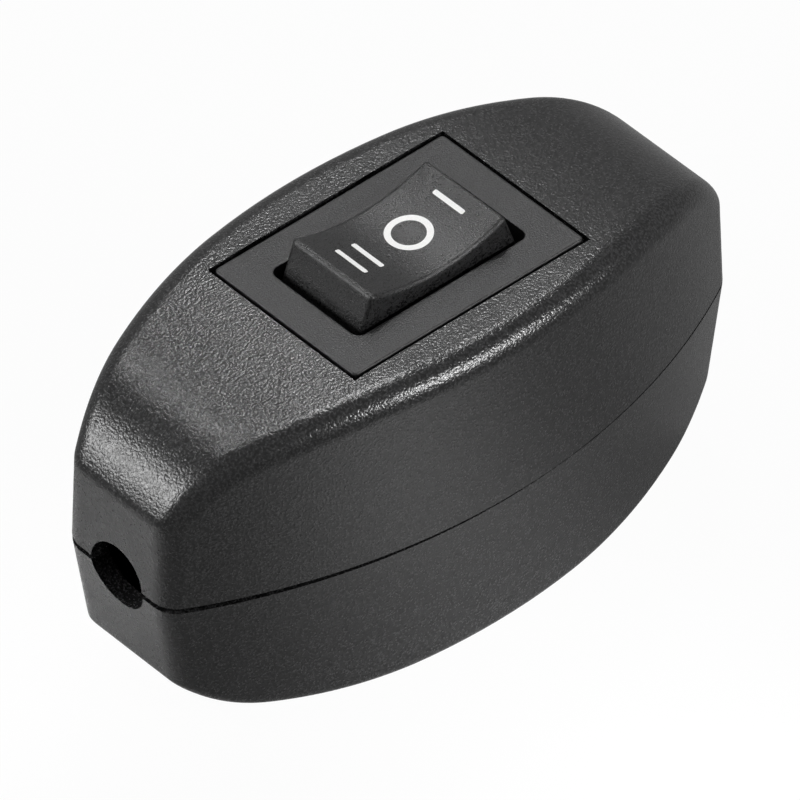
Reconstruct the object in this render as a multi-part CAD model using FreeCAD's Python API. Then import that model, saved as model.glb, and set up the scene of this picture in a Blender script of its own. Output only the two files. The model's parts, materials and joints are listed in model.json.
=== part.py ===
import FreeCAD, Part
import math
import os

# Inline cord switch, in millimetres. The origin is the middle of the base, +Z is up, and +X runs
# along the case from the II end to the I end. The cord axis lies in the parting plane of the case.

os.makedirs("parts", exist_ok=True)

Vector = FreeCAD.Vector
ALONG_X = Vector(1, 0, 0)
ALONG_Y = Vector(0, 1, 0)
ALONG_Z = Vector(0, 0, 1)

# Case, both halves
case_length = 72.0
case_width = 33.2
side_arc_radius = 72.8  # plan radius of each long side at the parting plane
plan_corner_radius = 3.0
wall = 2.2
least_corner_radius = 0.8  # tightest plan corner of an offset case outline
cut_margin = 1.0  # how far a cutting shape reaches past the face that it opens
clear_angle = 8.0  # faces that meet at less than this count as tangent
cord_hole_radius = 3.7

# Upper half: flat crown, gentle shoulder, then a bend that runs down to the end face
upper_height = 19.5
upper_side_draft = 1.8
upper_end_draft = 2.0
upper_crown_run = 25.5  # along X, from the end of the flat crown to the end of the case
upper_shoulder_radius = 73.0
upper_shoulder_angle = 12.0
upper_bend_radius = 14.3
upper_ramp_angle = 68.0
upper_edge_radius = 2.6

# Lower half
lower_height = 17.6
lower_side_draft = 4.5
lower_end_draft = 9.0
lower_crown_run = 27.0
lower_shoulder_radius = 80.0
lower_shoulder_angle = 12.0
lower_bend_radius = 15.0
lower_ramp_angle = 41.0
lower_edge_radius = 1.3

# Seam between the halves: they all but touch near the middle and gape towards the ends
seam_gap_front = 0.65
seam_gap_rear = 0.3
seam_gap_least = 0.08
seam_touch_x = 5.0
tongue_height = 1.3
tongue_thickness = 0.9
tongue_step = 0.06  # from the wall's inner face to the tongue's inner face
tongue_clearance = 0.1

# Insert plate and housing of the switch
plate_length = 29.2
plate_width = 20.2
plate_thickness = 1.6
plate_corner_radius = 0.5
plate_edge_radius = 0.2
recess_length = 30.0
recess_width = 21.06
collar_margin = 1.9  # case material left round the recess, seen from above
ledge_thickness = 2.0
housing_length = 26.8
housing_width = 16.0
housing_depth = 16.0
housing_corner_radius = 0.8
housing_clearance = 0.3
window_length = 21.8
window_width = 12.7
window_corner_radius = 1.0
window_depth = 2.6
chamber_length = 23.8
snap_reach = 1.1
snap_height = 3.0
snap_width = 5.0
snap_gap = 0.05
snap_root = 0.2  # how deep a snap is rooted in the housing's wall

# Rocker
rocker_length = 16.9
rocker_width = 11.36
rocker_rise = 3.3
rocker_sag = 1.7
rocker_plate_level_length = 19.2
rocker_edge_radius = 0.35
rocker_wall = 1.4
rocker_rib = 1.2
rib_depth = 3.0  # lower edge of the rib, below the plate's top
skirt_depth = 4.6
pivot_depth = 4.0
rocker_travel = 11.0
trunnion_radius = 1.5
trunnion_clearance = 0.05
trunnion_reach = 1.3  # into the housing's side wall
shoulder_radius = 2.3
shoulder_gap = 0.15
lobe_radius = 2.6

# Spring tube, plunger and spring
tube_radius = 2.6
tube_depth = 8.6
tube_bore_top = 1.0
plunger_radius = 1.45
plunger_clearance = 0.08
plunger_nose_radius = 1.2
plunger_nose_depth = 11.65
plunger_shoulder_depth = 7.0
plunger_spigot_radius = 0.75
plunger_spigot_length = 1.4
plunger_neck = 0.6
plunger_travel = 0.8
spring_radius = 1.1
spring_wire_radius = 0.17
spring_turns = 6
spring_seat_gap = 0.03

# Contacts and strips
strip_thickness = 0.8
strip_width = 4.0
bend_radius = 0.8
contact_pivot_depth = 12.95
bar_clearance = 0.05
bar_half_length = 7.2
bar_arm_start = 4.6
bar_seat_half = 2.2
bar_arm_lift = 1.0
bar_width = 4.4
bar_notch_half_length = 0.6
dimple_radius = 1.6
dimple_depth = 0.15
prong_clearance = 0.15
prong_inner = 1.9
prong_outer = 3.1
prong_depth = 10.8
tip_radius = 1.2
moving_tip_height = 0.6
fixed_tip_height = 0.35
tip_chamfer = 0.15
tip_offset = 6.0
line_platform_start = 4.4
line_drop_offset = 10.0
foot_depth = 19.0

# Contact carrier
carrier_top_depth = 14.2
carrier_flange = 1.6
carrier_clearance = 0.1
slot_clearance = 0.1
bend_pocket_floor = 0.6  # above the housing's rim, under a line strip's bend

# Terminal cages
cage_length = 4.0
cage_width = 6.4
cage_height = 6.2
cage_roof = 0.85
cage_side = 0.9
cage_floor = 1.1
cage_play = 0.1  # between a strip's bend and the cage beside it
screw_fit = 0.05

# Screws: shank radius, head radius, head height
terminal_screw = (1.2, 2.0, 1.4)
connector_screw = (1.2, 1.9, 1.4)
clamp_screw = (1.2, 1.85, 1.6)
case_screw = (1.4, 2.7, 2.2)
slot_width = 0.6
slot_depth = 0.7
screw_stand_off = 0.3  # gap under the head of a terminal's screw
terminal_screw_length = 3.4
clamp_screw_length = 9.0
case_screw_length = 20.0

# Through-connectors for neutral and earth
connector_length = 16.0
connector_width = 5.2
connector_height = 6.2
connector_bore_radius = 1.5
connector_offset = 6.4
connector_screw_offset = 4.5
connector_edge_radius = 0.4
cradle_wall = 1.0
cradle_height = 2.4
cradle_pad = 0.6
cradle_clearance = 0.1

# Cord clamps
clamp_play = 0.25  # between a clamp's post and the case screw tube beside it
clamp_head_play = 0.15  # between the arch and the heads of its screws
clamp_seat_drop = 2.0  # below the parting plane
clamp_width = 4.6
clamp_wing = 2.4
clamp_arch_radius = 3.6
clamp_arch_thickness = 1.0
clamp_tooth = 0.5
clamp_tooth_width = 0.8
post_radius = 2.35
saddle_rib = 1.0
saddle_spacing = 1.8
saddle_radius = 3.6

# Case screw tubes
case_screw_inset = 8.4  # from the widest part of the case's side
boss_radius = 3.1
boss_play = 2.0  # between a tube and the end of the switch's housing, where wires pass
boss_gap = 0.35  # from the parting plane to each screw tube, over half the widest seam
counterbore_clearance = 0.3
counterbore_wall = 1.2
screw_seat_height = 4.6
screw_hole_clearance = 0.25
screw_tip_room = 1.0  # hole left past the end of a screw

# Heights above the base
parting = lower_height
case_top = parting + upper_height
pivot_height = case_top - pivot_depth
contact_pivot_height = case_top - contact_pivot_depth

# Screw places: the case screws stand beyond the housing's ends, the clamps beyond the case screws
case_screw_x = housing_length / 2 + housing_clearance + boss_play + boss_radius
case_screw_y = case_width / 2 - case_screw_inset
clamp_offset = case_screw_x + boss_radius + clamp_play + post_radius
clamp_screw_offset = clamp_arch_radius + clamp_arch_thickness + clamp_head_play + clamp_screw[1]

# Cage centres: each cage starts just past the bend of its strip
cage_common_offset = bend_radius + cage_play + cage_length / 2
cage_offset = line_drop_offset + cage_common_offset


def box(x_range, y_range, z_range):
    size = (x_range[1] - x_range[0], y_range[1] - y_range[0], z_range[1] - z_range[0])
    return Part.makeBox(*size, Vector(x_range[0], y_range[0], z_range[0]))


def cylinder(radius, length, start, direction):
    return Part.makeCylinder(radius, length, start, direction)


def rounded_block(length, width, z_range, corner_radius):
    # Upright block centred on the Z axis with rounded upright corners
    block = box((-length / 2, length / 2), (-width / 2, width / 2), z_range)
    return block.makeFillet(corner_radius, upright_edges(block))


def upright_edges(shape):
    bounds = shape.BoundBox
    tall = (bounds.ZMax - bounds.ZMin) / 2
    return [edge for edge in shape.Edges if abs(edge.Vertexes[0].Z - edge.Vertexes[-1].Z) > tall]


def sharp_edges(shape, accept):
    # Edges where two faces meet at a clear angle and whose middle satisfies accept
    found = []
    for edge in shape.Edges:
        middle = edge.valueAt((edge.FirstParameter + edge.LastParameter) / 2)
        if not accept(middle):
            continue
        normals = []
        for face in shape.ancestorsOfType(edge, Part.Face)[:2]:
            u, v = face.Surface.parameter(middle)
            normals.append(face.normalAt(u, v))
        if len(normals) == 2 and normals[0].getAngle(normals[1]) > math.radians(clear_angle):
            found.append(edge)
    return found


def extruded_profile(edges, half_width):
    # Profile drawn in the XZ plane, extruded the same way to both sides of it
    face = Part.Face(Part.Wire(edges))
    face.translate(Vector(0, -half_width, 0))
    return face.extrude(Vector(0, 2 * half_width, 0))


def in_xz(x, z):
    return Vector(x, 0, z)


def polygon_edges(points):
    return [Part.makeLine(a, b) for a, b in zip(points, points[1:] + points[:1])]


def both_ways(shape):
    # The shape and its copy turned half a turn about Z
    twin = shape.copy()
    twin.rotate(Vector(0, 0, 0), ALONG_Z, 180)
    return [shape, twin]


def mirrored_in_x(shape):
    return shape.mirror(Vector(0, 0, 0), ALONG_X)


def one_solid(shape):
    # The largest solid of a boolean result, with merged faces
    clean = shape.removeSplitter()
    return max(clean.Solids, key=lambda solid: solid.Volume)


# Case form


def drafted_disc(radius, height, lean, centre_y):
    base = Vector(0, centre_y, 0)
    if lean == 0:
        return cylinder(radius, height, base, ALONG_Z)
    return Part.makeCone(radius, radius - lean, height, base, ALONG_Z)


def lens_block(height, side_draft, end_draft, inset):
    # Plan outline of two arcs and two flat ends, leaning in as it rises from the parting plane
    side_lean = height * math.tan(math.radians(side_draft))
    end_lean = height * math.tan(math.radians(end_draft))
    radius = side_arc_radius - inset
    centre = side_arc_radius - case_width / 2
    lens = drafted_disc(radius, height, side_lean, centre)
    lens = lens.common(drafted_disc(radius, height, side_lean, -centre))
    half = case_length / 2 - inset
    ends = [in_xz(-half, 0), in_xz(half, 0), in_xz(half - end_lean, height), in_xz(end_lean - half, height)]
    lens = lens.common(extruded_profile(polygon_edges(ends), case_width)).Solids[0]
    corner = max(plan_corner_radius - inset, least_corner_radius)
    return lens.makeFillet(corner, upright_edges(lens))


def crown_prism(height, crown_run, shoulder_radius, shoulder_angle, bend, ramp_angle, inset):
    # Side outline of one half: flat, shoulder arc, tighter bend, straight ramp past the end face
    flat_half = case_length / 2 - crown_run
    first = math.radians(shoulder_angle)
    second = math.radians(ramp_angle)

    def on_arc(centre, radius, angle):
        return centre + in_xz(radius * math.sin(angle), radius * math.cos(angle))

    shoulder_centre = in_xz(flat_half, height - shoulder_radius)
    bend_centre = on_arc(shoulder_centre, shoulder_radius - bend, first)
    flat_end = in_xz(flat_half, height - inset)
    shoulder_middle = on_arc(shoulder_centre, shoulder_radius - inset, first / 2)
    shoulder_end = on_arc(shoulder_centre, shoulder_radius - inset, first)
    bend_middle = on_arc(bend_centre, bend - inset, (first + second) / 2)
    bend_end = on_arc(bend_centre, bend - inset, second)
    reach = case_length / 2 + wall
    ramp_end = in_xz(reach, bend_end.z - (reach - bend_end.x) * math.tan(second))
    foot = in_xz(reach, 0)
    edges = [
        Part.makeLine(foot, ramp_end),
        Part.makeLine(ramp_end, bend_end),
        Part.Arc(bend_end, bend_middle, shoulder_end).toShape(),
        Part.Arc(shoulder_end, shoulder_middle, flat_end).toShape(),
    ]
    edges += [mirrored_in_x(edge) for edge in edges]
    edges.append(Part.makeLine(flat_end, in_xz(-flat_end.x, flat_end.z)))
    edges.append(Part.makeLine(in_xz(-foot.x, 0), foot))
    return extruded_profile(Part.sortEdges(edges)[0], case_width)


def upper_form(inset):
    block = lens_block(upper_height, upper_side_draft, upper_end_draft, inset)
    crown = crown_prism(upper_height, upper_crown_run, upper_shoulder_radius, upper_shoulder_angle,
                        upper_bend_radius, upper_ramp_angle, inset)
    form = block.common(crown).Solids[0]
    form.translate(Vector(0, 0, parting))
    return form


def lower_form(inset):
    block = lens_block(lower_height, lower_side_draft, lower_end_draft, inset)
    crown = crown_prism(lower_height, lower_crown_run, lower_shoulder_radius, lower_shoulder_angle,
                        lower_bend_radius, lower_ramp_angle, inset)
    form = block.common(crown).Solids[0].mirror(Vector(0, 0, 0), ALONG_Z)
    form.translate(Vector(0, 0, parting))
    return form


def rim_ring(outer_inset, inner_inset, height):
    # Upright ring on the parting plane that follows the case outline
    ring = lens_block(height, 0, 0, outer_inset).cut(lens_block(height, 0, 0, inner_inset))
    ring.translate(Vector(0, 0, parting))
    return ring


def cord_bore(radius):
    start = Vector(-case_length, 0, parting)
    return cylinder(radius, 2 * case_length, start, ALONG_X)


def seam_wedges():
    # The gap between the halves, as one flat wedge towards each end, even about the parting plane
    touch = seam_gap_least / 2
    wedges = []
    for end, gap in ((-case_length / 2, seam_gap_front), (case_length / 2, seam_gap_rear)):
        far = end + math.copysign(cut_margin, end)
        widest = touch + (gap / 2 - touch) * (far - seam_touch_x) / (end - seam_touch_x)
        points = [in_xz(seam_touch_x, parting + touch), in_xz(far, parting + widest),
                  in_xz(far, parting - widest), in_xz(seam_touch_x, parting - touch)]
        wedges.append(extruded_profile(polygon_edges(points), case_width))
    return wedges


def case_screw_axes():
    return [Vector(-case_screw_x, case_screw_y, 0), Vector(case_screw_x, -case_screw_y, 0)]


def make_upper_shell():
    outer = upper_form(0)
    crown_edges = sharp_edges(outer, lambda p: p.z > parting + cut_margin)
    outer = outer.makeFillet(upper_edge_radius, crown_edges)
    cavity = upper_form(wall)
    collar_depth = plate_thickness + ledge_thickness
    collar_floor = case_top - collar_depth
    half_x = recess_length / 2 + collar_margin
    half_y = recess_width / 2 + collar_margin
    cavity = cavity.cut(box((-half_x, half_x), (-half_y, half_y), (collar_floor, case_top)))
    for axis in case_screw_axes():
        foot = axis + Vector(0, 0, parting + boss_gap)
        cavity = cavity.cut(cylinder(boss_radius, upper_height, foot, ALONG_Z))
    shell = outer.cut(cavity)
    groove_inset = wall - tongue_thickness - tongue_clearance
    groove = rim_ring(groove_inset, wall + cut_margin, tongue_height + tongue_clearance)
    for axis in case_screw_axes():
        foot = axis + Vector(0, 0, parting + boss_gap)
        groove = groove.cut(cylinder(boss_radius, upper_height, foot, ALONG_Z))
    shell = shell.cut(groove)
    recess = box((-recess_length / 2, recess_length / 2), (-recess_width / 2, recess_width / 2),
                 (case_top - plate_thickness, case_top + cut_margin))
    opening = rounded_block(housing_length + 2 * housing_clearance, housing_width + 2 * housing_clearance,
                            (collar_floor - cut_margin, case_top), housing_corner_radius)
    shell = shell.cut(recess).cut(opening).cut(cord_bore(cord_hole_radius))
    for wedge in seam_wedges():
        shell = shell.cut(wedge)
    for axis in case_screw_axes():
        foot = axis + Vector(0, 0, parting)
        depth = screw_seat_height + case_screw_length + screw_tip_room - parting
        shell = shell.cut(cylinder(case_screw[0] + screw_fit, depth, foot, ALONG_Z))
    return one_solid(shell)


def clamp_axes():
    return [Vector(x, y, 0) for x in (-clamp_offset, clamp_offset)
            for y in (-clamp_screw_offset, clamp_screw_offset)]


def connector_places():
    return (-connector_offset, connector_offset)


def make_lower_shell():
    outer = lower_form(0)
    outer = outer.makeFillet(lower_edge_radius, sharp_edges(outer, lambda p: p.z < parting - cut_margin))
    cavity = lower_form(wall)
    for axis in clamp_axes():
        cavity = cavity.cut(cylinder(post_radius, parting - clamp_seat_drop, axis, ALONG_Z))
    for x in (-clamp_offset, clamp_offset):
        for step in (-saddle_spacing / 2, saddle_spacing / 2):
            rib = box((x + step - saddle_rib / 2, x + step + saddle_rib / 2),
                      (-clamp_screw_offset, clamp_screw_offset), (0, parting - clamp_seat_drop))
            cavity = cavity.cut(rib.cut(cord_bore(saddle_radius)))
    for axis in case_screw_axes():
        cavity = cavity.cut(cylinder(boss_radius, parting - boss_gap, axis, ALONG_Z))
        wide = case_screw[1] + counterbore_clearance + counterbore_wall
        cavity = cavity.cut(cylinder(wide, screw_seat_height + counterbore_wall, axis, ALONG_Z))
    for y in connector_places():
        inner_x = connector_length / 2 + cradle_clearance
        inner_y = connector_width / 2 + cradle_clearance
        outer_x = inner_x + cradle_wall
        outer_y = inner_y + cradle_wall
        cradle = box((-outer_x, outer_x), (y - outer_y, y + outer_y), (0, wall + cradle_height))
        pocket = box((-inner_x, inner_x), (y - inner_y, y + inner_y),
                     (wall + cradle_pad, wall + cradle_height))
        cavity = cavity.cut(cradle.cut(pocket))
    shell = outer.cut(cavity)
    for wedge in seam_wedges():
        shell = shell.cut(wedge)
    tongue_outer = wall - tongue_thickness
    tongue_root = rim_ring(tongue_outer, wall - tongue_step, tongue_height)
    stub = tongue_root.copy()
    stub.translate(Vector(0, 0, -cut_margin))
    shell = shell.fuse(tongue_root).fuse(stub).cut(cord_bore(cord_hole_radius))
    for axis in case_screw_axes():
        shell = shell.cut(cylinder(boss_radius + tongue_clearance, case_top,
                                   axis + Vector(0, 0, parting - boss_gap), ALONG_Z))
        shell = shell.cut(cylinder(case_screw[1] + counterbore_clearance, screw_seat_height, axis, ALONG_Z))
        shell = shell.cut(cylinder(case_screw[0] + screw_hole_clearance, parting, axis, ALONG_Z))
    for axis in clamp_axes():
        top = axis + Vector(0, 0, parting - clamp_seat_drop)
        depth = clamp_screw_length - clamp_wing + screw_tip_room
        shell = shell.cut(cylinder(clamp_screw[0] + screw_fit, depth, top, -ALONG_Z))
    return one_solid(shell)


# Switch insert


def make_switch_frame():
    plate = rounded_block(plate_length, plate_width, (case_top - plate_thickness, case_top),
                          plate_corner_radius)
    top_edges = sharp_edges(plate, lambda p: p.z > case_top - plate_edge_radius)
    plate = plate.makeFillet(plate_edge_radius, top_edges)
    floor = case_top - housing_depth
    housing = rounded_block(housing_length, housing_width, (floor, case_top - plate_thickness),
                            housing_corner_radius)
    frame = plate.fuse(housing)
    snap_top = case_top - plate_thickness - ledge_thickness - snap_gap
    half = housing_length / 2
    wedge = [in_xz(half - snap_root, snap_top), in_xz(half + snap_reach, snap_top),
             in_xz(half, snap_top - snap_height), in_xz(half - snap_root, snap_top - snap_height)]
    for snap in both_ways(extruded_profile(polygon_edges(wedge), snap_width / 2)):
        frame = frame.fuse(snap)
    window = rounded_block(window_length, window_width, (floor, case_top + cut_margin),
                           window_corner_radius)
    chamber = box((-chamber_length / 2, chamber_length / 2), (-window_width / 2, window_width / 2),
                  (floor, case_top - window_depth))
    frame = frame.cut(window).cut(chamber)
    start = Vector(0, -housing_width, pivot_height)
    frame = frame.cut(cylinder(trunnion_radius + trunnion_clearance, 2 * housing_width, start, ALONG_Y))
    return one_solid(frame)


def rocker_foot():
    # Lower end corner of the rocker, on the arc about the pivot that its end follows
    sweep = math.hypot(rocker_plate_level_length / 2, pivot_depth)
    foot_z = case_top - skirt_depth
    return in_xz(math.sqrt(sweep ** 2 - (pivot_height - foot_z) ** 2), foot_z), sweep


def rocker_outline():
    # Side outline: hollowed top, flared ends, then ends that are arcs about the pivot
    half_top = rocker_length / 2
    half_plate = rocker_plate_level_length / 2
    crest = case_top + rocker_rise
    foot, sweep = rocker_foot()
    tip = in_xz(half_top, crest)
    waist = in_xz(half_plate, case_top)
    edges = [
        Part.makeLine(tip, waist),
        Part.Arc(waist, in_xz(sweep, pivot_height), foot).toShape(),
    ]
    edges += [mirrored_in_x(edge) for edge in edges]
    edges.append(Part.Arc(in_xz(-half_top, crest), in_xz(0, crest - rocker_sag), tip).toShape())
    edges.append(Part.makeLine(in_xz(-foot.x, foot.z), foot))
    return Part.sortEdges(edges)[0]


def rocker_hollow():
    # Space under the rocker's top, with a roof parallel to the hollowed top
    top_radius = ((rocker_length / 2) ** 2 + rocker_sag ** 2) / (2 * rocker_sag)
    centre_z = case_top + rocker_rise - rocker_sag + top_radius
    roof_radius = top_radius + rocker_wall
    flare = (rocker_plate_level_length - rocker_length) / 2 / rocker_rise
    half_roof = rocker_length / 2 + (flare - 1) * rocker_wall
    roof_end = in_xz(half_roof, centre_z - math.sqrt(roof_radius ** 2 - half_roof ** 2))
    roof_middle = in_xz(0, centre_z - roof_radius)
    outer_foot = rocker_foot()[0]
    foot = in_xz(outer_foot.x - rocker_wall, outer_foot.z - cut_margin)
    edges = [
        Part.Arc(in_xz(-roof_end.x, roof_end.z), roof_middle, roof_end).toShape(),
        Part.makeLine(roof_end, foot),
        Part.makeLine(foot, in_xz(-foot.x, foot.z)),
        Part.makeLine(in_xz(-foot.x, foot.z), in_xz(-roof_end.x, roof_end.z)),
    ]
    return extruded_profile(edges, rocker_width / 2 - rocker_wall)


def make_rocker():
    outer = extruded_profile(rocker_outline(), rocker_width / 2)
    above = sharp_edges(outer, lambda p: p.z > case_top - skirt_depth + rocker_edge_radius)
    outer = outer.makeFillet(rocker_edge_radius, above)
    hollow = rocker_hollow()
    rocker = outer.cut(hollow)
    post_foot = Vector(0, 0, case_top - tube_depth)
    post_top = case_top + rocker_rise - rocker_sag - rocker_wall / 2
    rocker = rocker.fuse(cylinder(tube_radius, post_top - post_foot.z, post_foot, ALONG_Z))
    rib_half = rocker_plate_level_length / 2 - rocker_wall / 2
    rib = box((-rib_half, rib_half), (-rocker_rib / 2, rocker_rib / 2),
              (case_top - rib_depth, case_top + rocker_rise))
    rocker = rocker.fuse(rib.common(hollow))
    for side in (-1, 1):
        inner = Vector(0, side * (rocker_width / 2 - rocker_wall), pivot_height)
        out = ALONG_Y * side
        reach_shoulder = rocker_wall + (window_width - rocker_width) / 2 - shoulder_gap
        reach_trunnion = rocker_wall + (window_width - rocker_width) / 2 + trunnion_reach
        rocker = rocker.fuse(cylinder(lobe_radius, rocker_wall, inner, out))
        rocker = rocker.fuse(cylinder(shoulder_radius, reach_shoulder, inner, out))
        rocker = rocker.fuse(cylinder(trunnion_radius, reach_trunnion, inner, out))
    bore_length = tube_depth - tube_bore_top
    rocker = rocker.cut(cylinder(plunger_radius + plunger_clearance, bore_length, post_foot, ALONG_Z))
    return one_solid(rocker)


def make_plunger():
    nose_centre = Vector(0, 0, case_top - plunger_nose_depth + plunger_nose_radius)
    shoulder_z = case_top - plunger_shoulder_depth
    body_foot = nose_centre + Vector(0, 0, plunger_neck)
    body = cylinder(plunger_radius, shoulder_z - body_foot.z, body_foot, ALONG_Z)
    neck = Part.makeCone(plunger_nose_radius, plunger_radius, plunger_neck, nose_centre, ALONG_Z)
    nose = Part.makeSphere(plunger_nose_radius, nose_centre)
    spigot = cylinder(plunger_spigot_radius, plunger_spigot_length, Vector(0, 0, shoulder_z), ALONG_Z)
    return one_solid(body.fuse(neck).fuse(nose).fuse(spigot))


def make_plunger_spring():
    # Coil from the plunger's shoulder to the closed end of the rocker's tube
    low = case_top - plunger_shoulder_depth + spring_seat_gap + spring_wire_radius
    high = case_top - tube_bore_top - spring_seat_gap - spring_wire_radius
    helix = Part.makeHelix((high - low) / spring_turns, high - low, spring_radius)
    section = Part.Wire(Part.makeCircle(spring_wire_radius, Vector(spring_radius, 0, 0), ALONG_Y))
    coil = Part.Wire(helix).makePipeShell([section], True, True)
    coil.translate(Vector(0, 0, low))
    return coil


# Strips of sheet metal


def bent_strip(path, thickness, bend, half_width):
    # Sheet strip whose centre line is the path in the XZ plane, with rounded bends
    lines = []
    for side in (-1, 1):
        edges = []
        last = None
        for index, point in enumerate(path):
            if index == 0 or index == len(path) - 1:
                other = path[1] if index == 0 else path[-2]
                run = (other - point) if index == 0 else (point - other)
                run.normalize()
                corner = point + run.cross(ALONG_Y) * (side * thickness / 2)
                if last is not None:
                    edges.append(Part.makeLine(last, corner))
                last = corner
                continue
            before = point - path[index - 1]
            after = path[index + 1] - point
            before.normalize()
            after.normalize()
            turn = before.getAngle(after)
            tangent = bend * math.tan(turn / 2)
            normal_in = before.cross(ALONG_Y) * (side * thickness / 2)
            normal_out = after.cross(ALONG_Y) * (side * thickness / 2)
            start = point - before * tangent
            inward = after - before
            inward.normalize()
            centre = point + inward * (bend / math.cos(turn / 2))
            radius = (start + normal_in - centre).Length
            middle = centre - inward * radius
            finish = point + after * tangent + normal_out
            edges.append(Part.makeLine(last, start + normal_in))
            edges.append(Part.Arc(start + normal_in, middle, finish).toShape())
            last = finish
        lines.append(edges)
    first, second = lines
    ends = [
        Part.makeLine(first[0].firstVertex().Point, second[0].firstVertex().Point),
        Part.makeLine(first[-1].lastVertex().Point, second[-1].lastVertex().Point),
    ]
    return extruded_profile(Part.sortEdges(first + second + ends)[0], half_width)


def make_contact_bar():
    seat_z = contact_pivot_height + strip_thickness / 2 + bar_clearance + strip_thickness / 2
    arm_z = seat_z + bar_arm_lift
    path = [in_xz(-bar_half_length, arm_z), in_xz(-bar_arm_start, arm_z), in_xz(-bar_seat_half, seat_z),
            in_xz(bar_seat_half, seat_z), in_xz(bar_arm_start, arm_z), in_xz(bar_half_length, arm_z)]
    bar = bent_strip(path, strip_thickness, bend_radius, bar_width / 2)
    for side in (-1, 1):
        inner = side * (prong_inner - prong_clearance)
        outer = side * bar_width
        notch = box((-bar_notch_half_length, bar_notch_half_length), (min(inner, outer), max(inner, outer)),
                    (seat_z - strip_thickness, seat_z + strip_thickness))
        bar = bar.cut(notch)
    top = seat_z + strip_thickness / 2
    dimple = Part.makeSphere(dimple_radius, Vector(0, 0, top + dimple_radius - dimple_depth))
    return one_solid(bar.cut(dimple)), arm_z - strip_thickness / 2


def contact_tip(x, start_z, height, direction):
    tip = cylinder(tip_radius, height, Vector(x, 0, start_z), direction)
    far = start_z + height * direction.z
    rim = [edge for edge in tip.Edges if abs(edge.CenterOfMass.z - far) < tip_chamfer / 2]
    return tip.makeChamfer(tip_chamfer, rim)


def make_common_strip():
    foot_z = case_top - foot_depth
    foot_end = cage_common_offset + cage_length / 2
    path = [in_xz(0, contact_pivot_height), in_xz(0, foot_z), in_xz(foot_end, foot_z)]
    strip = bent_strip(path, strip_thickness, bend_radius, strip_width / 2)
    half = strip_thickness / 2
    carrier_floor = case_top - housing_depth - carrier_flange
    strip = strip.fuse(box((-half, half), (-prong_outer, prong_outer),
                           (carrier_floor, contact_pivot_height)))
    prong_span = (contact_pivot_height - strip_thickness, case_top - prong_depth)
    for side in (-1, 1):
        edges = sorted((side * prong_inner, side * prong_outer))
        strip = strip.fuse(box((-half, half), edges, prong_span))
    ridge = cylinder(half, 2 * prong_inner, Vector(0, -prong_inner, contact_pivot_height), ALONG_Y)
    return one_solid(strip.fuse(ridge))


def make_line_strip():
    platform_z = case_top - carrier_top_depth + strip_thickness / 2
    foot_z = case_top - foot_depth
    path = [in_xz(line_platform_start, platform_z), in_xz(line_drop_offset, platform_z),
            in_xz(line_drop_offset, foot_z), in_xz(cage_offset + cage_length / 2, foot_z)]
    return one_solid(bent_strip(path, strip_thickness, bend_radius, strip_width / 2))


def make_switch_base():
    # Carrier: a plug inside the housing and a flange under its rim, slotted for the strips
    floor = case_top - housing_depth
    plug = box((-chamber_length / 2 + carrier_clearance, chamber_length / 2 - carrier_clearance),
               (-window_width / 2 + carrier_clearance, window_width / 2 - carrier_clearance),
               (floor, case_top - carrier_top_depth))
    flange = rounded_block(housing_length, housing_width, (floor - carrier_flange, floor),
                           housing_corner_radius)
    base = flange.fuse(plug)
    half = strip_thickness / 2 + slot_clearance
    span = (floor - carrier_flange - cut_margin, case_top)
    base = base.cut(box((-half, half), (-prong_outer - slot_clearance, prong_outer + slot_clearance), span))
    for side in (-1, 1):
        x = side * line_drop_offset
        bend_room = bend_radius + strip_thickness
        inner = sorted((x - side * bend_room, x + side * half))
        slot_half = strip_width / 2 + slot_clearance
        base = base.cut(box((x - half, x + half), (-slot_half, slot_half), span))
        base = base.cut(box(inner, (-slot_half, slot_half), (floor + bend_pocket_floor, case_top)))
    return one_solid(base)


# Terminals and screws


def slotted_screw(sizes, length, seat, direction):
    # Cheese-head screw: seat is the point under the head, direction runs down the shank
    shank_radius, head_radius, head_height = sizes
    head = cylinder(head_radius, head_height, seat, -direction)
    shank = cylinder(shank_radius, length, seat, direction)
    screw = head.fuse(shank)
    top = seat - direction * head_height
    low = top + direction * slot_depth
    z_range = sorted((top.z - direction.z, low.z))
    slot = box((seat.x - 2 * head_radius, seat.x + 2 * head_radius),
               (seat.y - slot_width / 2, seat.y + slot_width / 2), z_range)
    return one_solid(screw.cut(slot))


def cage_places():
    return (-cage_offset, cage_common_offset, cage_offset)


def make_cage(x):
    # Square frame round the strip's foot, open along X for the wire, threaded below
    roof = case_top - foot_depth + strip_thickness / 2 + cage_roof
    floor = roof - cage_height
    cage = box((x - cage_length / 2, x + cage_length / 2), (-cage_width / 2, cage_width / 2), (floor, roof))
    inside = cage_width / 2 - cage_side
    cage = cage.cut(box((x - cage_length, x + cage_length), (-inside, inside),
                        (floor + cage_floor, roof - cage_roof)))
    cage = cage.cut(cylinder(terminal_screw[0] + screw_fit, cage_floor, Vector(x, 0, floor), ALONG_Z))
    return one_solid(cage), floor


def make_connector(y):
    low = wall + cradle_pad
    block = box((-connector_length / 2, connector_length / 2),
                (y - connector_width / 2, y + connector_width / 2), (low, low + connector_height))
    lengthwise = [edge for edge in block.Edges
                  if abs(edge.Vertexes[0].X - edge.Vertexes[-1].X) > connector_length / 2]
    block = block.makeFillet(connector_edge_radius, lengthwise)
    middle = low + connector_height / 2
    bore_start = Vector(-connector_length, y, middle)
    bore = cylinder(connector_bore_radius, 2 * connector_length, bore_start, ALONG_X)
    block = block.cut(bore)
    for x in (-connector_screw_offset, connector_screw_offset):
        hole = cylinder(connector_screw[0] + screw_fit, connector_height / 2, Vector(x, y, middle), ALONG_Z)
        block = block.cut(hole)
    return one_solid(block), low + connector_height


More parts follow.
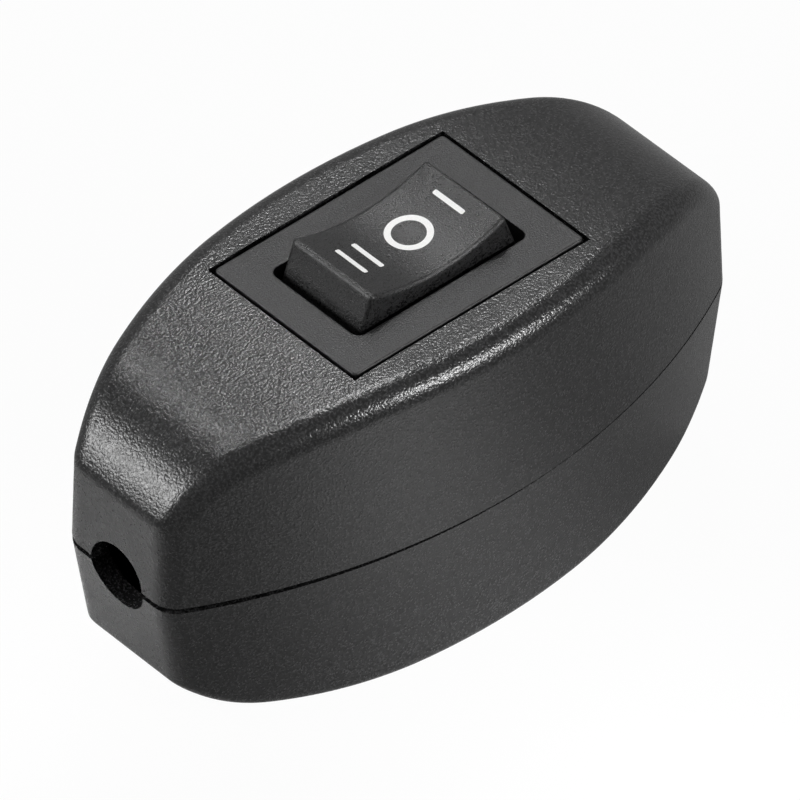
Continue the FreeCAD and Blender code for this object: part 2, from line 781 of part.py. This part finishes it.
def make_clamp(x):
    # Saddle clamp: wings on the posts, an arch over the cord and a tooth that bites the sheath
    seat = parting - clamp_seat_drop
    half = clamp_width / 2
    wings = box((x - half, x + half), (-clamp_screw_offset, clamp_screw_offset), (seat, seat + clamp_wing))
    for y in (-clamp_screw_offset, clamp_screw_offset):
        wings = wings.fuse(cylinder(half, clamp_wing, Vector(x, y, seat), ALONG_Z))
    start = Vector(x - half, 0, parting)
    arch = cylinder(clamp_arch_radius + clamp_arch_thickness, clamp_width, start, ALONG_X)
    arch = arch.cut(box((x - case_width, x + case_width), (-case_width, case_width), (0, seat)))
    inner = cylinder(clamp_arch_radius, clamp_width, start, ALONG_X)
    inner = inner.fuse(box((x - half, x + half), (-clamp_arch_radius, clamp_arch_radius), (0, parting)))
    tooth = inner.cut(cylinder(clamp_arch_radius - clamp_tooth, clamp_width, start, ALONG_X))
    tooth = tooth.common(box((x - clamp_tooth_width / 2, x + clamp_tooth_width / 2),
                             (-clamp_arch_radius, clamp_arch_radius), (parting, case_top)))
    clamp = wings.fuse(arch).cut(inner).fuse(tooth)
    for y in (-clamp_screw_offset, clamp_screw_offset):
        hole = cylinder(clamp_screw[0] + screw_hole_clearance, clamp_wing, Vector(x, y, seat), ALONG_Z)
        clamp = clamp.cut(hole)
    return one_solid(clamp)


parts = {}
parts["upper_shell"] = make_upper_shell()
parts["lower_shell"] = make_lower_shell()
parts["switch_frame"] = make_switch_frame()
parts["rocker"] = make_rocker()
parts["plunger"] = make_plunger()
parts["plunger_spring"] = make_plunger_spring()
parts["contact_bar"], arm_floor = make_contact_bar()
parts["contact_bar_tips"] = [contact_tip(x, arm_floor, moving_tip_height, -ALONG_Z)
                             for x in (-tip_offset, tip_offset)]
parts["common_strip"] = make_common_strip()
parts["line_strip_rear"] = make_line_strip()
parts["line_strip_front"] = mirrored_in_x(parts["line_strip_rear"])
platform_top = case_top - carrier_top_depth + strip_thickness
parts["fixed_tips"] = [contact_tip(x, platform_top, fixed_tip_height, ALONG_Z)
                       for x in (-tip_offset, tip_offset)]
parts["switch_base"] = make_switch_base()

cages = []
terminal_screws = []
for x in cage_places():
    cage, cage_bottom = make_cage(x)
    cages.append(cage)
    seat = Vector(x, 0, cage_bottom - screw_stand_off)
    terminal_screws.append(slotted_screw(terminal_screw, terminal_screw_length, seat, ALONG_Z))
parts["terminal_cages"] = cages
parts["terminal_screws"] = terminal_screws

connector_screws = []
for name, y in zip(("earth_connector", "neutral_connector"), connector_places()):
    parts[name], block_top = make_connector(y)
    for x in (-connector_screw_offset, connector_screw_offset):
        seat = Vector(x, y, block_top + screw_stand_off)
        length = screw_stand_off + connector_height / 2 - connector_bore_radius
        connector_screws.append(slotted_screw(connector_screw, length, seat, -ALONG_Z))
parts["connector_screws"] = connector_screws

parts["cord_clamp_front"] = make_clamp(-clamp_offset)
parts["cord_clamp_rear"] = make_clamp(clamp_offset)
clamp_top = parting - clamp_seat_drop + clamp_wing
parts["clamp_screws"] = [slotted_screw(clamp_screw, clamp_screw_length,
                                       axis + Vector(0, 0, clamp_top), -ALONG_Z) for axis in clamp_axes()]
parts["case_screws"] = [slotted_screw(case_screw, case_screw_length,
                                      axis + Vector(0, 0, screw_seat_height), ALONG_Z)
                        for axis in case_screw_axes()]

for name, shape in parts.items():
    solids = Part.makeCompound(shape) if isinstance(shape, list) else shape
    solids.exportStep("parts/" + name + ".step")
    print(name, len(solids.Solids), round(solids.Volume, 2), solids.isValid())
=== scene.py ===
import json
import math

import bpy
from mathutils import Matrix, Vector
from mathutils.bvhtree import BVHTree


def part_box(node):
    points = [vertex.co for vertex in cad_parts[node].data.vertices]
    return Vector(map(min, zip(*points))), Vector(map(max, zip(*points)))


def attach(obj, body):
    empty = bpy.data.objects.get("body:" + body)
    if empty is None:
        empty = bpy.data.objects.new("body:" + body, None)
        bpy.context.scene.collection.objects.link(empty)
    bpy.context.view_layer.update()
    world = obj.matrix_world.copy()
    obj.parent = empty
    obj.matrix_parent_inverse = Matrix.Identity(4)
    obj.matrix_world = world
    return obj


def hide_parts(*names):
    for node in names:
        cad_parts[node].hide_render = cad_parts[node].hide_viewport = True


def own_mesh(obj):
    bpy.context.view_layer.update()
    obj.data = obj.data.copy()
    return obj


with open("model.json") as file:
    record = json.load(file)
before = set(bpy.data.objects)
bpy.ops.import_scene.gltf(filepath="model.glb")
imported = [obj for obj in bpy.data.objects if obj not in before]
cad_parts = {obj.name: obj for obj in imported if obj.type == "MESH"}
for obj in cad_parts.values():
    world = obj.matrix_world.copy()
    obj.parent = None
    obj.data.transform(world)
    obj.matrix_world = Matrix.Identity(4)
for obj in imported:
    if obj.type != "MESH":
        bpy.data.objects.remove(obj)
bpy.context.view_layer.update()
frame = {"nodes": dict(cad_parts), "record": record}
nodes = frame["nodes"]
mm = 0.001
print("frame loaded,", len(nodes), "nodes")


def seamHeight():
    # the cord entries lie on the seam between the two shells
    for mount in frame["record"]["mounts"]:
        if mount["name"] == "cord_entry_front":
            return mount["pos_m"][2]


def directionOf(place):
    # azimuth turns from the near long side (-Y) towards +X, elevation rises from the floor
    azimuth = math.radians(place["azimuth"])
    elevation = math.radians(place["elevation"])
    return Vector((math.sin(azimuth) * math.cos(elevation),
                   -math.cos(azimuth) * math.cos(elevation),
                   math.sin(elevation)))


# Camera: long lens, turned and tipped as in the photograph

cameraSet = {
    "azimuth": -41.57,
    "elevation": 42.07,
    "roll": -0.28,
    "lens": 751.9,
    "sensor": 36,
    "distance": 1.5997,
    "slideRight": 0.0,  # how far the picture's centre lies from the seam's centre
    "slideUp": 0.580 * mm,
    "nearest": 0.1,
    "farthest": 10,
}


def makeCamera():
    back = directionOf(cameraSet)
    level = Vector((0, 0, 1)).cross(back).normalized()
    steep = back.cross(level)
    roll = math.radians(cameraSet["roll"])
    right = level * math.cos(roll) + steep * math.sin(roll)
    up = steep * math.cos(roll) - level * math.sin(roll)
    aim = (Vector((0, 0, seamHeight())) + right * cameraSet["slideRight"]
           + up * cameraSet["slideUp"])
    data = bpy.data.cameras.new("productCamera")
    data.lens = cameraSet["lens"]
    data.sensor_width = cameraSet["sensor"]
    data.clip_start = cameraSet["nearest"]
    data.clip_end = cameraSet["farthest"]
    camera = bpy.data.objects.new("productCamera", data)
    turn = Matrix((right, up, back)).transposed()
    camera.matrix_world = Matrix.Translation(aim + back * cameraSet["distance"]) @ turn.to_4x4()
    bpy.context.scene.collection.objects.link(camera)
    bpy.context.scene.camera = camera
    print("camera stands", cameraSet["distance"], "m off")


# Node helpers for the materials


def startMaterial(name, color, roughness, specular=0.5, metallic=0.0):
    material = bpy.data.materials.new(name)
    material.use_nodes = True
    tree = material.node_tree
    shader = tree.nodes["Principled BSDF"]
    shader.inputs["Base Color"].default_value = (*color, 1)
    shader.inputs["Roughness"].default_value = roughness
    shader.inputs["Specular IOR Level"].default_value = specular
    shader.inputs["Metallic"].default_value = metallic
    material.diffuse_color = (*color, 1)
    return material, tree, shader


def addNode(tree, kind, **settings):
    node = tree.nodes.new(kind)
    for key, value in settings.items():
        if key in node.inputs:
            node.inputs[key].default_value = value
        else:
            setattr(node, key, value)
    return node


def addNoise(tree, grainSize, detail, roughness=0.5, stretch=None):
    # grainSize is the width of one bump in metres, stretch scales the noise along each axis
    where = addNode(tree, "ShaderNodeTexCoord").outputs["Object"]
    if stretch is not None:
        mapping = addNode(tree, "ShaderNodeMapping", Scale=stretch)
        tree.links.new(where, mapping.inputs["Vector"])
        where = mapping.outputs["Vector"]
    noise = addNode(tree, "ShaderNodeTexNoise", Scale=1 / grainSize, Detail=detail,
                    Roughness=roughness)
    tree.links.new(where, noise.inputs["Vector"])
    return noise.outputs["Fac"]


def addSpread(tree, factor, low, high):
    spread = addNode(tree, "ShaderNodeMapRange")
    spread.inputs["From Min"].default_value = 0.3
    spread.inputs["From Max"].default_value = 0.7
    spread.inputs["To Min"].default_value = low
    spread.inputs["To Max"].default_value = high
    tree.links.new(factor, spread.inputs["Value"])
    return spread.outputs["Result"]


def addTint(tree, factor, dark, pale, fromLow=0.3, fromHigh=0.7):
    ramp = addNode(tree, "ShaderNodeValToRGB")
    ramp.color_ramp.elements[0].position = fromLow
    ramp.color_ramp.elements[0].color = (*dark, 1)
    ramp.color_ramp.elements[1].position = fromHigh
    ramp.color_ramp.elements[1].color = (*pale, 1)
    tree.links.new(factor, ramp.inputs["Fac"])
    return ramp.outputs["Color"]


def addBump(tree, height, depth, below=None):
    bump = addNode(tree, "ShaderNodeBump", Strength=1.0, Distance=depth)
    tree.links.new(height, bump.inputs["Height"])
    if below is not None:
        tree.links.new(below, bump.inputs["Normal"])
    return bump.outputs["Normal"]


# Moulded plastics: one recipe, with the eroded grain coarser on the case and finer on the insert

# In each plastic below, dark is painted shade in the grain's pits and pale is the plastic's own
# colour on the grain's high parts
casePlastic = {
    "dark": (0.0030, 0.0030, 0.0031),
    "pale": (0.0200, 0.0200, 0.0205),
    "roughness": (0.20, 0.29),
    "specular": 0.45,
    "grain": 0.26 * mm,
    "depth": 0.062 * mm,
    "fineGrain": 0.10 * mm,
    "fineDepth": 0.003 * mm,
    "edge": 0.0,  # rounding that the light sees on sharp edges
}
insertPlastic = {
    "dark": (0.0020, 0.0020, 0.0021),
    "pale": (0.0260, 0.0260, 0.0266),
    "roughness": (0.28, 0.38),
    "specular": 0.33,
    "grain": 0.16 * mm,
    "depth": 0.034 * mm,
    "fineGrain": 0.08 * mm,
    "fineDepth": 0.004 * mm,
    "edge": 0.25 * mm,
}
rockerPlastic = {
    "dark": (0.0020, 0.0020, 0.0021),
    "pale": (0.0230, 0.0230, 0.0235),
    "roughness": (0.26, 0.36),
    "specular": 0.38,
    "grain": 0.16 * mm,
    "depth": 0.040 * mm,
    "fineGrain": 0.08 * mm,
    "fineDepth": 0.004 * mm,
    "edge": 0.60 * mm,
}
erodedGrain = {
    "plainRoughness": 0.45,  # stands where the grain's roughness isn't read
    "detail": 1.5,
    "noiseRoughness": 0.55,
    "fineDetail": 1.0,
    "pitShadeFrom": 0.40,
    "pitShadeTo": 0.60,
    "edgeSamples": 6,
}


def mouldedPlastic(name, plastic):
    material, tree, shader = startMaterial(name, plastic["pale"], erodedGrain["plainRoughness"],
                                           plastic["specular"])
    grain = addNoise(tree, plastic["grain"], erodedGrain["detail"], erodedGrain["noiseRoughness"])
    fine = addNoise(tree, plastic["fineGrain"], erodedGrain["fineDetail"])
    # painted shade: the base colour goes dark where the grain's bump is low, shading its pits
    tint = addTint(tree, grain, plastic["dark"], plastic["pale"],
                   erodedGrain["pitShadeFrom"], erodedGrain["pitShadeTo"])
    tree.links.new(tint, shader.inputs["Base Color"])
    tree.links.new(addSpread(tree, grain, *plastic["roughness"]), shader.inputs["Roughness"])
    rounded = None
    if plastic["edge"]:
        rounded = addNode(tree, "ShaderNodeBevel", Radius=plastic["edge"],
                          samples=erodedGrain["edgeSamples"]).outputs["Normal"]
    coarse = addBump(tree, grain, plastic["depth"], rounded)
    tree.links.new(addBump(tree, fine, plastic["fineDepth"], coarse), shader.inputs["Normal"])
    return material


# Plain mouldings inside: nylon plunger, thermoset carrier, cord clamps

innerMouldings = {
    "plunger_nylon": {
        "dark": (0.66, 0.64, 0.57), "pale": (0.74, 0.72, 0.65),
        "roughness": (0.38, 0.50), "grain": 0.5 * mm,
    },
    "carrier_plastic": {
        "dark": (0.34, 0.31, 0.25), "pale": (0.42, 0.39, 0.32),
        "roughness": (0.5, 0.62), "grain": 0.25 * mm,
    },
    "clamp_plastic": {
        "dark": (0.012, 0.012, 0.013), "pale": (0.018, 0.018, 0.019),
        "roughness": (0.45, 0.58), "grain": 0.3 * mm,
    },
}
innerSurface = {
    "plainRoughness": 0.5,
    "specular": 0.45,
    "detail": 2.0,
    "cloud": 12,  # the pale and dark patches are this many grains wide
    "depth": 0.006 * mm,
}


def plainMoulding(name, moulding):
    material, tree, shader = startMaterial(name, moulding["pale"], innerSurface["plainRoughness"],
                                           innerSurface["specular"])
    grain = addNoise(tree, moulding["grain"], innerSurface["detail"])
    cloud = addNoise(tree, innerSurface["cloud"] * moulding["grain"], innerSurface["detail"])
    tint = addTint(tree, cloud, moulding["dark"], moulding["pale"])
    tree.links.new(tint, shader.inputs["Base Color"])
    tree.links.new(addSpread(tree, grain, *moulding["roughness"]), shader.inputs["Roughness"])
    tree.links.new(addBump(tree, grain, innerSurface["depth"]), shader.inputs["Normal"])
    return material


# Metals: where the brush isn't even, the noise is stretched along the brushed axis

metals = {
    "spring_steel": {
        "dark": (0.42, 0.42, 0.43), "pale": (0.56, 0.56, 0.57),
        "roughness": (0.22, 0.34), "brush": (1, 1, 1),
    },
    "copper_strip": {
        "dark": (0.62, 0.33, 0.19), "pale": (0.74, 0.42, 0.26),
        "roughness": (0.26, 0.40), "brush": (0.08, 1, 1),
    },
    "brass": {
        "dark": (0.60, 0.43, 0.16), "pale": (0.72, 0.54, 0.24),
        "roughness": (0.24, 0.38), "brush": (0.08, 1, 1),
    },
    "silver": {
        "dark": (0.72, 0.71, 0.69), "pale": (0.84, 0.83, 0.81),
        "roughness": (0.20, 0.34), "brush": (1, 1, 1),
    },
    "plated_steel": {
        "dark": (0.48, 0.49, 0.50), "pale": (0.62, 0.63, 0.65),
        "roughness": (0.24, 0.38), "brush": (1, 1, 0.3),
    },
}
brushMarks = {
    "plainRoughness": 0.3,
    "size": 0.12 * mm,
    "detail": 3.0,
    "depth": 0.002 * mm,
}


def brushedMetal(name, metal):
    material, tree, shader = startMaterial(name, metal["pale"], brushMarks["plainRoughness"],
                                           metallic=1.0)
    grain = addNoise(tree, brushMarks["size"], brushMarks["detail"], stretch=metal["brush"])
    tint = addTint(tree, grain, metal["dark"], metal["pale"])
    tree.links.new(tint, shader.inputs["Base Color"])
    tree.links.new(addSpread(tree, grain, *metal["roughness"]), shader.inputs["Roughness"])
    tree.links.new(addBump(tree, grain, brushMarks["depth"]), shader.inputs["Normal"])
    return material


def paint(piece, material):
    piece.data.materials.clear()
    piece.data.materials.append(material)
    for face in piece.data.polygons:
        face.material_index = 0


def dressNodes():
    # every sub-part takes the material of its slot in the record
    materials = {
        "case_plastic": mouldedPlastic("casePlastic", casePlastic),
        "insert_plastic": mouldedPlastic("insertPlastic", insertPlastic),
        "rocker_plastic": mouldedPlastic("rockerPlastic", rockerPlastic),
    }
    for slot, moulding in innerMouldings.items():
        materials[slot] = plainMoulding(slot, moulding)
    for slot, metal in metals.items():
        materials[slot] = brushedMetal(slot, metal)
    for part in frame["record"]["subparts"]:
        paint(nodes[part["node"]], materials[part["material_slot"]])
    return materials


def addPiece(name, points, faces, material):
    mesh = bpy.data.meshes.new(name)
    mesh.from_pydata(points, [], faces)
    mesh.validate()
    piece = bpy.data.objects.new(name, mesh)
    bpy.context.scene.collection.objects.link(piece)
    paint(piece, material)
    return piece


# Plunger spring: a coil between the plunger's shoulder and the closed end of the rocker's tube,
# built at one fixed length

plungerSpring = {
    "coilRadius": 1.1 * mm,
    "wireRadius": 0.17 * mm,
    "turns": 6,
    "stepsPerTurn": 28,
    "wireSides": 10,
    "travel": 0.8 * mm,
}


def makeSpring(material):
    low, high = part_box("plunger_spring")
    wire = plungerSpring["wireRadius"]
    sides = plungerSpring["wireSides"]
    steps = plungerSpring["turns"] * plungerSpring["stepsPerTurn"]
    bottom = low.z + wire
    rise = high.z - low.z - 2 * wire
    points = []
    faces = []
    for i in range(steps + 1):
        angle = 2 * math.pi * i / plungerSpring["stepsPerTurn"]
        outward = Vector((math.cos(angle), math.sin(angle), 0))
        height = Vector((0, 0, bottom + rise * i / steps))
        middle = outward * plungerSpring["coilRadius"] + height
        for j in range(sides):
            turn = 2 * math.pi * j / sides
            raised = Vector((0, 0, wire * math.sin(turn)))
            points.append(middle + outward * wire * math.cos(turn) + raised)
    for i in range(steps):
        for j in range(sides):
            here = i * sides + j
            beside = i * sides + (j + 1) % sides
            faces.append((here, beside, beside + sides, here + sides))
    faces.append(tuple(reversed(range(sides))))
    faces.append(tuple(range(steps * sides, (steps + 1) * sides)))
    piece = addPiece("plunger_coil", points, faces, material)
    for face in piece.data.polygons:
        face.use_smooth = len(face.vertices) == 4  # the two cut ends of the wire stay flat
    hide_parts("plunger_spring")
    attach(piece, "rocker")
    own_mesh(piece)
    print("plunger spring coiled,", plungerSpring["turns"], "turns")


# Printed signs on the rocker: thin layers of ink that follow its hollowed top

signPrint = {
    "ink": (0.80, 0.80, 0.79),
    "wornShare": 0.90,  # how bright the worn specks are beside the full ink
    "plainRoughness": 0.5,
    "specular": 0.35,
    "grain": 0.16 * mm,
    "detail": 2.0,
    "depth": 0.004 * mm,
    "lift": 0.018 * mm,
    "sink": 0.010 * mm,
    "dropFrom": 5 * mm,
    "step": 0.15 * mm,
    "cornerRadius": 0.08 * mm,
    "barLength": 4.25 * mm,
    "barRows": (1, 0.33, -0.33, -1),  # points across a bar, as shares of half its width
    "oneX": 6.5 * mm,
    "oneWidth": 0.52 * mm,
    "twoX": -4.85 * mm,
    "twoWidth": 0.56 * mm,
    "twoSpacing": 2.05 * mm,
    "ringX": 1.4 * mm,
    "ringOuter": 2.40 * mm,
    "ringStroke": 0.68 * mm,
    "ringSteps": 120,
    "ringRows": (0, 0.33, 0.67, 1),  # points across the ring, from its inner to its outer edge
    "slideY": 0.2 * mm,
}


def inkMaterial():
    pale = signPrint["ink"]
    worn = tuple(signPrint["wornShare"] * channel for channel in pale)
    material, tree, shader = startMaterial("signInk", pale, signPrint["plainRoughness"],
                                           signPrint["specular"])
    grain = addNoise(tree, signPrint["grain"], signPrint["detail"])
    tree.links.new(addTint(tree, grain, worn, pale), shader.inputs["Base Color"])
    tree.links.new(addBump(tree, grain, signPrint["depth"]), shader.inputs["Normal"])
    return material


def topFinder():
    # drops a point onto the rocker's top
    rocker = nodes["rocker"].data
    tree = BVHTree.FromPolygons([v.co for v in rocker.vertices],
                                [p.vertices for p in rocker.polygons])
    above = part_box("rocker")[1].z + signPrint["dropFrom"]

    def drop(x, y):
        return tree.ray_cast(Vector((x, y, above)), Vector((0, 0, -1)))[0]

    return drop


def inkSheet(name, columns, drop, material, closed=False):
    # each column is a row of (x, y) points across the stroke, one column after another along it
    lift = Vector((0, 0, signPrint["lift"]))
    thickness = Vector((0, 0, signPrint["lift"] + signPrint["sink"]))
    wide = len(columns[0])
    points = [drop(x, y) + lift for column in columns for x, y in column]
    count = len(points)
    points += [point - thickness for point in points]
    faces = []
    last = len(columns) if closed else len(columns) - 1
    for i in range(last):
        a = i * wide
        b = (i + 1) % len(columns) * wide
        for j in range(wide - 1):
            faces.append((a + j, b + j, b + j + 1, a + j + 1))
            faces.append((count + a + j + 1, count + b + j + 1, count + b + j, count + a + j))
        faces.append((a, count + a, count + b, b))
        faces.append((a + wide - 1, b + wide - 1, count + b + wide - 1, count + a + wide - 1))
    if not closed:
        end = (len(columns) - 1) * wide
        for j in range(wide - 1):
            faces.append((j, j + 1, count + j + 1, count + j))
            faces.append((end + j + 1, end + j, count + end + j, count + end + j + 1))
    piece = addPiece(name, points, faces, material)
    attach(piece, "rocker")


def barColumns(centreX, width):
    # a stroke along Y whose ends are narrowed by the corner radius
    half = signPrint["barLength"] / 2
    corner = signPrint["cornerRadius"]
    steps = round(2 * half / signPrint["step"])
    columns = []
    for i in range(steps + 1):
        y = -half + 2 * half * i / steps
        near = max(0.0, abs(y) - (half - corner))
        halfWidth = width / 2 - corner + math.sqrt(max(corner ** 2 - near ** 2, 0))
        columns.append([(centreX + halfWidth * row, y + signPrint["slideY"])
                        for row in signPrint["barRows"]])
    return columns


def ringColumns():
    stroke = signPrint["ringStroke"]
    inner = signPrint["ringOuter"] - stroke
    columns = []
    for i in range(signPrint["ringSteps"]):
        angle = 2 * math.pi * i / signPrint["ringSteps"]
        radii = [inner + row * stroke for row in signPrint["ringRows"]]
        columns.append([(signPrint["ringX"] + radius * math.cos(angle),
                         signPrint["slideY"] + radius * math.sin(angle)) for radius in radii])
    return columns


def printSigns():
    drop = topFinder()
    ink = inkMaterial()
    inkSheet("sign_one", barColumns(signPrint["oneX"], signPrint["oneWidth"]), drop, ink)
    inkSheet("sign_ring", ringColumns(), drop, ink, closed=True)
    for name, side in (("sign_two_left", -1), ("sign_two_right", 1)):
        x = signPrint["twoX"] + side * signPrint["twoSpacing"] / 2
        inkSheet(name, barColumns(x, signPrint["twoWidth"]), drop, ink)
    print("signs printed on the rocker")


# Studio: pale floor, white surroundings for the camera, soft boxes, two soft spots on the floor

studio = {
    "floorSize": 3.0,
    "floorSink": 0.01 * mm,
    "floorColor": (0.25, 0.25, 0.25),
    "floorWhite": 0.97,  # how white the camera sees the floor, beside its own shading
    "floorShine": 0.12,  # the same for what the glossy surfaces mirror
    "surroundings": 0.10,
    "worldWhite": 1.0,  # how white the camera sees the surroundings
    "worldShine": 0.40,  # the same for what the glossy surfaces mirror
    "boxDistance": 0.9,
    "poolDistance": 0.6,
    "poolBlend": 1.0,
    "poolSoftness": 0.02,
}
softBoxes = {
    "overhead": {"azimuth": 138.0, "elevation": 62.0, "size": (0.12, 0.10), "power": 3.3},
    "topBack": {"azimuth": 138.0, "elevation": 44.0, "size": (0.20, 0.14), "power": 0.2},
    "highLeft": {"azimuth": 190.0, "elevation": 56.0, "size": (0.10, 0.08), "power": 1.4},
    "leftBack": {"azimuth": 235.0, "elevation": 19.0, "size": (0.40, 0.22), "power": 5.0},
    "rightFront": {"azimuth": 22.0, "elevation": 25.0, "size": (0.22, 0.08), "power": 6.5},
}
floorPools = {
    "sidePool": {
        "azimuth": 10.0, "elevation": 42.0, "radius": 0.027,
        "centre": (-0.002, -0.052, 0.0), "power": 130.0,
    },
    "endPool": {
        "azimuth": 250.0, "elevation": 50.0, "radius": 0.024,
        "centre": (-0.056, 0.020, 0.0), "power": 95.0,
    },
}


def mixWhite(tree, plain, white, seen, mirrored, outKind):
    # camera rays meet white by the share seen, glossy and transmission rays by the share mirrored
    path = addNode(tree, "ShaderNodeLightPath")
    mirrors = addNode(tree, "ShaderNodeMath", operation="MAXIMUM")
    tree.links.new(path.outputs["Is Glossy Ray"], mirrors.inputs[0])
    tree.links.new(path.outputs["Is Transmission Ray"], mirrors.inputs[1])
    dimmed = addNode(tree, "ShaderNodeMath", operation="MULTIPLY")
    dimmed.inputs[1].default_value = mirrored
    tree.links.new(mirrors.outputs[0], dimmed.inputs[0])
    share = addNode(tree, "ShaderNodeMath", operation="MULTIPLY_ADD")
    share.inputs[1].default_value = seen
    tree.links.new(path.outputs["Is Camera Ray"], share.inputs[0])
    tree.links.new(dimmed.outputs[0], share.inputs[2])
    mix = addNode(tree, "ShaderNodeMixShader")
    tree.links.new(share.outputs[0], mix.inputs["Fac"])
    tree.links.new(plain.outputs[0], mix.inputs[1])
    tree.links.new(white.outputs[0], mix.inputs[2])
    tree.links.new(mix.outputs[0], addNode(tree, outKind).inputs["Surface"])


def makeWorld():
    world = bpy.data.worlds.new("surroundings")
    bpy.context.scene.world = world
    world.use_nodes = True
    tree = world.node_tree
    tree.nodes.clear()
    dim = addNode(tree, "ShaderNodeBackground", Color=(1, 1, 1, 1),
                  Strength=studio["surroundings"])
    white = addNode(tree, "ShaderNodeBackground", Color=(1, 1, 1, 1), Strength=1.0)
    mixWhite(tree, dim, white, studio["worldWhite"], studio["worldShine"], "ShaderNodeOutputWorld")
    print("surroundings set")


def makeFloor():
    material = bpy.data.materials.new("floorPaper")
    material.use_nodes = True
    tree = material.node_tree
    tree.nodes.clear()
    paper = addNode(tree, "ShaderNodeBsdfDiffuse", Color=(*studio["floorColor"], 1))
    white = addNode(tree, "ShaderNodeEmission", Strength=1.0)
    mixWhite(tree, paper, white, studio["floorWhite"], studio["floorShine"],
             "ShaderNodeOutputMaterial")
    half = studio["floorSize"] / 2
    corners = [(-half, -half, 0), (half, -half, 0), (half, half, 0), (-half, half, 0)]
    floor = addPiece("floor", corners, [(0, 1, 2, 3)], material)
    floor.location.z = -studio["floorSink"]
    print("floor laid")


def placeLamp(name, light, place, aim, distance):
    away = directionOf(place)
    light.energy = place["power"]
    lamp = bpy.data.objects.new(name, light)
    lamp.location = aim + away * distance
    lamp.rotation_euler = away.to_track_quat("Z", "Y").to_euler()
    bpy.context.scene.collection.objects.link(lamp)


def makeBoxes():
    for name, box in softBoxes.items():
        light = bpy.data.lights.new(name, "AREA")
        light.shape = "RECTANGLE"
        light.size, light.size_y = box["size"]
        placeLamp(name, light, box, Vector((0, 0, seamHeight())), studio["boxDistance"])
    print("studio lit by", len(softBoxes), "soft boxes")


def makePools():
    # narrow soft spots on the floor, which the long side and the end face mirror
    for name, pool in floorPools.items():
        light = bpy.data.lights.new(name, "SPOT")
        light.spot_size = 2 * math.atan(pool["radius"] / studio["poolDistance"])
        light.spot_blend = studio["poolBlend"]
        light.shadow_soft_size = studio["poolSoftness"]
        placeLamp(name, light, pool, Vector(pool["centre"]), studio["poolDistance"])
    print("floor lit by", len(floorPools), "soft spots")


makeCamera()
finishes = dressNodes()
makeSpring(finishes["spring_steel"])
printSigns()
makeWorld()
makeFloor()
makeBoxes()
makePools()
bpy.context.scene.view_settings.view_transform = "Standard"
